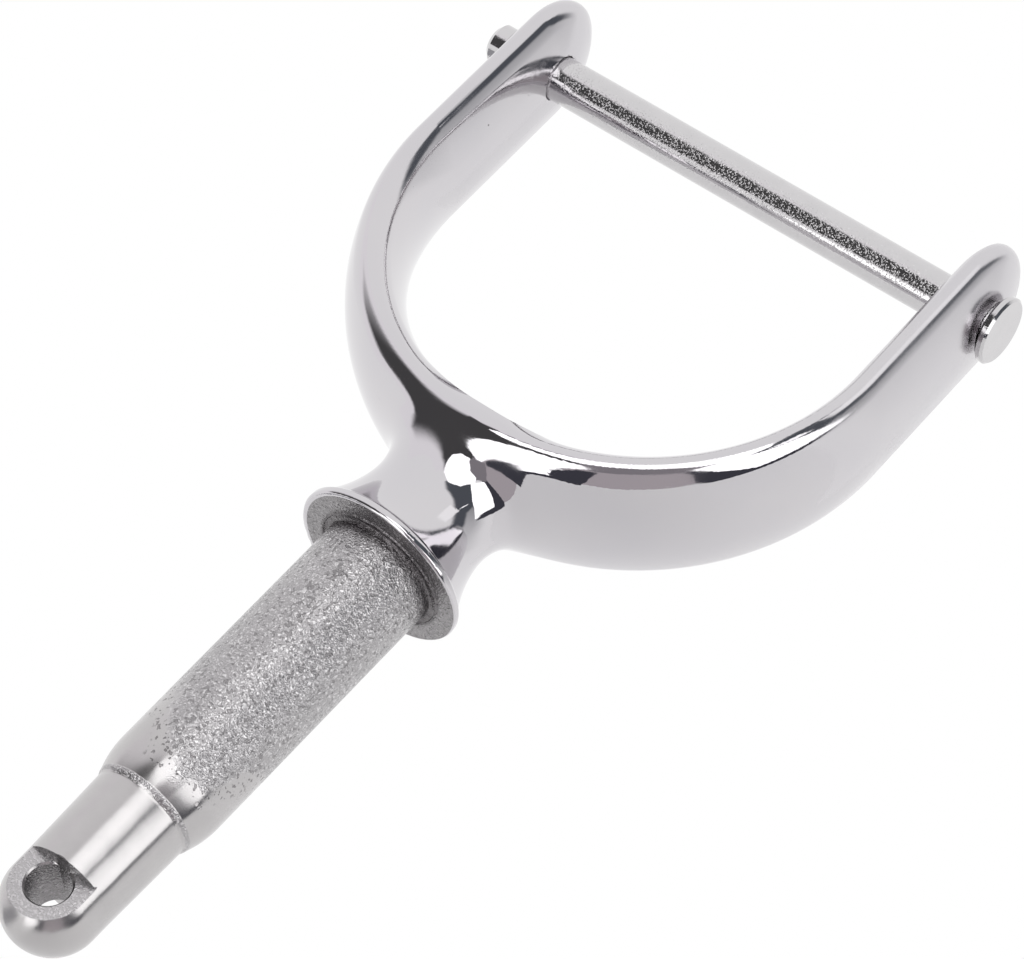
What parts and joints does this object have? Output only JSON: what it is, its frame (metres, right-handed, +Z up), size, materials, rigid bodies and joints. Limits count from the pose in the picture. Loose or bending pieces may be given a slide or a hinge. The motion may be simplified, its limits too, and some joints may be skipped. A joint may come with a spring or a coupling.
{
  "type": "rowlock",
  "caption": "Cast rowlock: a U-shaped bow for an oar on a round shank with a collar and a keeper hole, closed across the top by a removable headed pin.",
  "frame": {"origin": "on the shank's axis, at the underside of the collar that rests on the socket", "axes": "+Z up the shank's axis to the bow's open end; +X across the bow, to the ear that the pin's head is at; +Y through the bow's opening, the way the oar lies"},
  "size_m": [0.0653, 0.0192, 0.1224],
  "materials": {
    "polished_casting": "mirror polished on the bow, neck and collar; as cast, fine grained and matt on the shank; half polished on the tip",
    "pin_steel": "bright drawn rod with a finely pitted surface and a polished head"
  },
  "bodies": {
    "fork": {"fork": "polished_casting"},
    "gate_pin": {"gate_pin": "pin_steel"}
  },
  "joints": [
    {"name": "gate_pin_slide", "type": "slide", "parent": "fork", "child": "gate_pin", "axis": [1, 0, 0], "range_m": [0, 0.06]}
  ]
}
